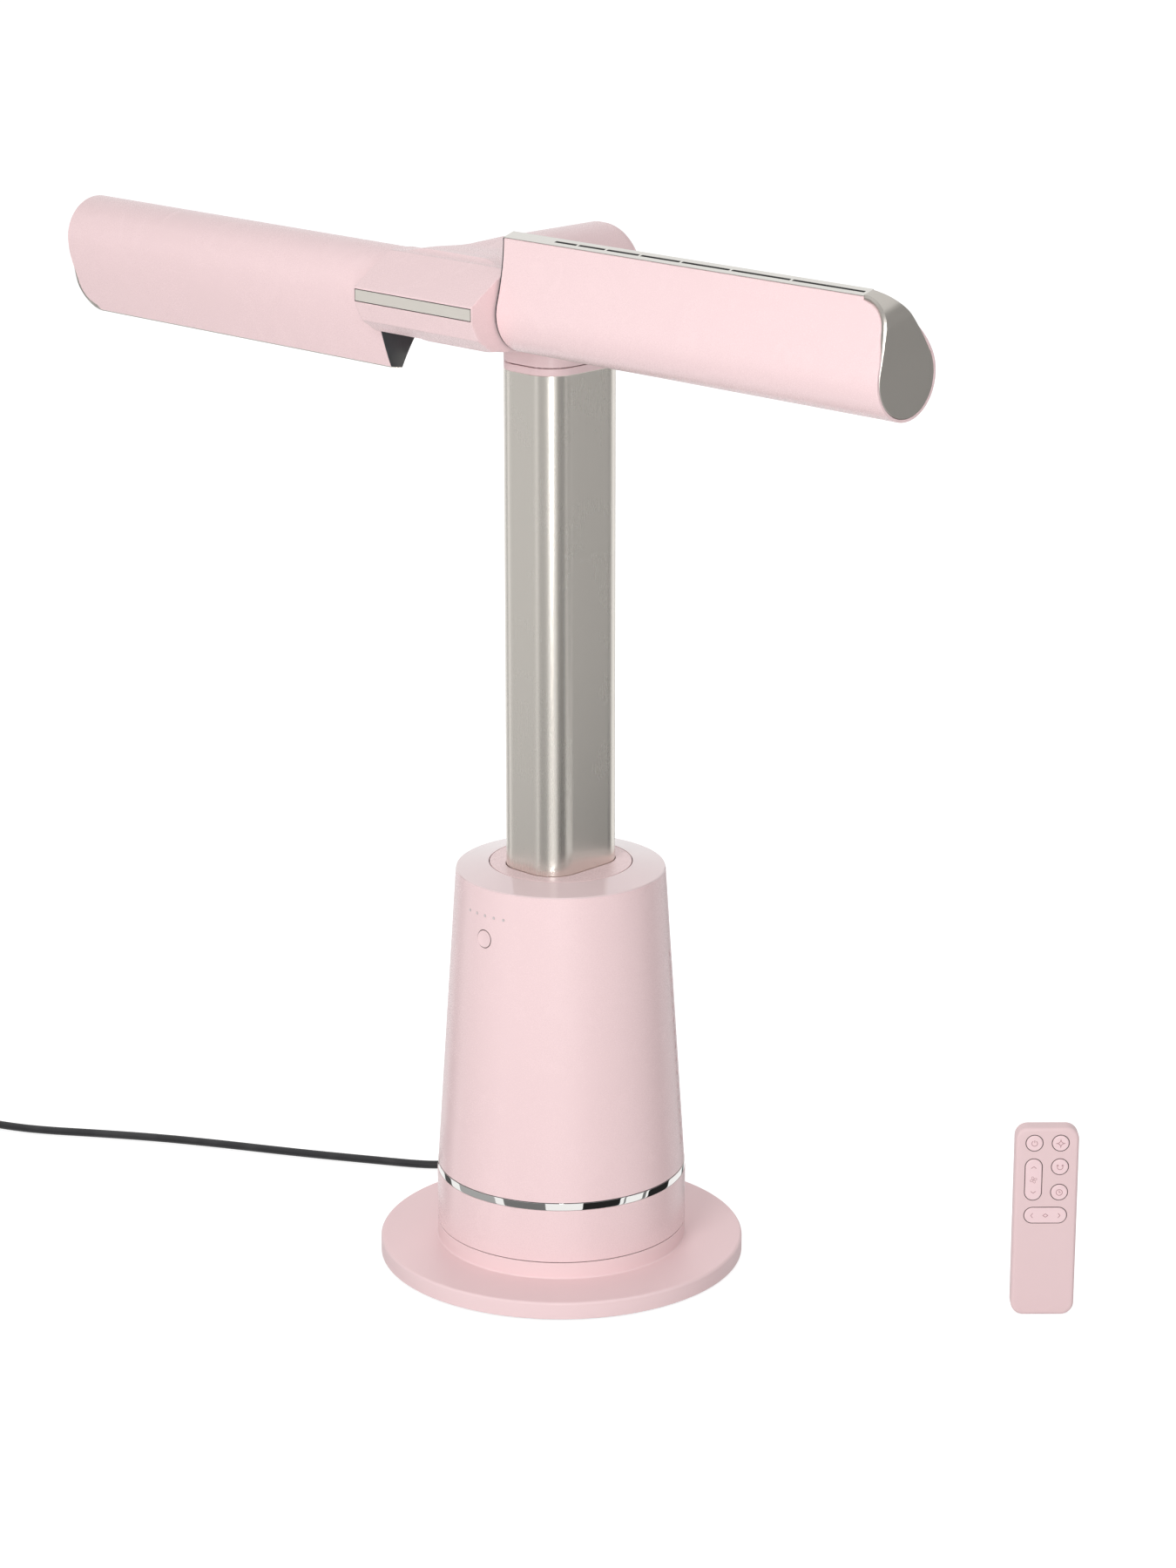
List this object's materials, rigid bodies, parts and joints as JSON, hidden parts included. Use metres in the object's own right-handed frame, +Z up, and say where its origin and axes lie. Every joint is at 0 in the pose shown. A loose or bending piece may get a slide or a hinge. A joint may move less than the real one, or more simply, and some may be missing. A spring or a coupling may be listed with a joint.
{
  "type": "twin-arm bladeless fan",
  "caption": "Floor or table fan with two hollow air arms on a telescoping pole, a tapered motor body on a round base, a mains lead and a separate remote control.",
  "frame": {"origin": "centre of the underside of the base plate's middle foot, on the pole's axis", "axes": "+Z up, -Y towards the front with the power button and the display nose, X along the two air arms"},
  "size_m": [1.0299, 0.4859, 0.8141],
  "materials": {
    "pink_shell": "satin, soft pink moulded plastic",
    "pink_button": "satin, same pink as the shells",
    "trim_chrome": "bright mirror trim",
    "pole_metal": "satin champagne anodised",
    "arm_metal": "satin taupe metallic",
    "display_grey": "pale grey smoked window",
    "root_black": "gloss black",
    "rubber_black": "matt black",
    "lead_black": "matt black cable sheath",
    "bare_steel": "plain steel",
    "weight_iron": "dark cast weight",
    "inner_white": "plain engineering plastic",
    "inner_dark": "dark plastic",
    "lens_white": "translucent white",
    "board_green": "solder mask green"
  },
  "bodies": {
    "base": {"base_cover": "pink_shell", "base_bottom_plate": "inner_dark", "base_weight": "weight_iron", "rubber_feet": "rubber_black", "base_screws": "bare_steel", "turntable_bearing": "inner_white", "swing_ring_gear": "inner_white", "cord_strain_relief": "rubber_black", "mains_lead": "lead_black", "lead_coil": "lead_black", "plug_body": "lead_black", "plug_pins": "bare_steel"},
    "tower": {"lower_housing": "pink_shell", "trim_ring": "trim_chrome", "body_shell": "pink_shell", "intake_grille": "pink_shell", "intake_filter": "inner_dark", "top_cap": "pink_shell", "pole_collar": "pink_shell", "pole_bush": "inner_dark", "indicator_lenses": "lens_white", "control_board": "board_green", "power_board": "board_green", "swing_motor": "bare_steel", "inlet_ring": "inner_white", "fan_motor": "bare_steel", "diffuser": "inner_white", "air_duct": "inner_white"},
    "button": {"power_button": "pink_button"},
    "pinion": {"swing_pinion": "inner_white"},
    "rotor": {"impeller": "inner_white"},
    "mast": {"pole_tube": "pole_metal", "pole_foot_bush": "inner_white", "neck_collar": "pink_shell", "neck_elbow": "pink_shell", "rear_cap": "pink_shell", "pivot_sleeve": "bare_steel"},
    "head": {"hub_shell": "pink_shell", "display_window": "display_grey", "display_board": "board_green", "arm_bushes": "inner_white"},
    "right_arm": {"right_arm_shell": "pink_shell", "right_slot_strip": "arm_metal", "right_end_cap": "arm_metal", "right_root": "root_black"},
    "left_arm": {"left_arm_shell": "pink_shell", "left_slot_strip": "arm_metal", "left_end_cap": "arm_metal", "left_root": "root_black"},
    "remote": {"remote_front": "pink_shell", "remote_back": "pink_shell", "remote_board": "board_green", "remote_battery": "bare_steel"},
    "remote_power": {"power_key": "pink_button"},
    "remote_boost": {"boost_key": "pink_button"},
    "remote_swing": {"swing_key": "pink_button"},
    "remote_timer": {"timer_key": "pink_button"},
    "remote_speed": {"speed_key": "pink_button"},
    "remote_twist": {"twist_key": "pink_button"}
  },
  "joints": [
    {"name": "oscillation", "type": "hinge", "parent": "base", "child": "tower", "pos_m": [0, 0, 0.0284], "axis": [0, 0, 1], "range_deg": [-90, 90]},
    {"name": "pinion_spin", "type": "hinge", "parent": "tower", "child": "pinion", "pos_m": [0, 0.036, 0.0155], "axis": [0, 0, 1], "range_deg": [-360, 360]},
    {"name": "impeller_spin", "type": "hinge", "parent": "tower", "child": "rotor", "pos_m": [0, 0, 0.0604], "axis": [0, 0, 1], "continuous": true},
    {"name": "power_button_press", "type": "slide", "parent": "tower", "child": "button", "axis": [0, 0.9978, -0.0656], "range_m": [0, 0.0008], "stiffness_N_per_m": 800},
    {"name": "mast_slide", "type": "slide", "parent": "tower", "child": "mast", "axis": [0, 0, 1], "range_m": [0, 0.12]},
    {"name": "head_pivot", "type": "hinge", "parent": "mast", "child": "head", "pos_m": [0, -0.05, 0.7575], "axis": [0, 1, 0], "range_deg": [0, 90]},
    {"name": "right_arm_twist", "type": "hinge", "parent": "head", "child": "right_arm", "pos_m": [0.06, -0.096, 0.7575], "axis": [1, 0, 0], "range_deg": [-16, 163]},
    {"name": "left_arm_twist", "type": "hinge", "parent": "head", "child": "left_arm", "pos_m": [-0.06, -0.096, 0.7575], "axis": [1, 0, 0], "range_deg": [-170, 10]},
    {"name": "remote_lift", "type": "slide", "parent": "base", "child": "remote", "axis": [0, 0, 1], "range_m": [0, 0.15]},
    {"name": "power_key_press", "type": "slide", "parent": "remote", "child": "remote_power", "axis": [-0.7009, 0.7133, 0], "range_m": [0, 0.0006], "stiffness_N_per_m": 400},
    {"name": "boost_key_press", "type": "slide", "parent": "remote", "child": "remote_boost", "axis": [-0.7009, 0.7133, 0], "range_m": [0, 0.0006], "stiffness_N_per_m": 400},
    {"name": "swing_key_press", "type": "slide", "parent": "remote", "child": "remote_swing", "axis": [-0.7009, 0.7133, 0], "range_m": [0, 0.0006], "stiffness_N_per_m": 400},
    {"name": "timer_key_press", "type": "slide", "parent": "remote", "child": "remote_timer", "axis": [-0.7009, 0.7133, 0], "range_m": [0, 0.0006], "stiffness_N_per_m": 400},
    {"name": "speed_key_press", "type": "slide", "parent": "remote", "child": "remote_speed", "axis": [-0.7009, 0.7133, 0], "range_m": [0, 0.0006], "stiffness_N_per_m": 400},
    {"name": "twist_key_press", "type": "slide", "parent": "remote", "child": "remote_twist", "axis": [-0.7009, 0.7133, 0], "range_m": [0, 0.0006], "stiffness_N_per_m": 400}
  ],
  "couplings": [
    {"joint": "pinion_spin", "follows": "oscillation", "ratio": -4}
  ]
}
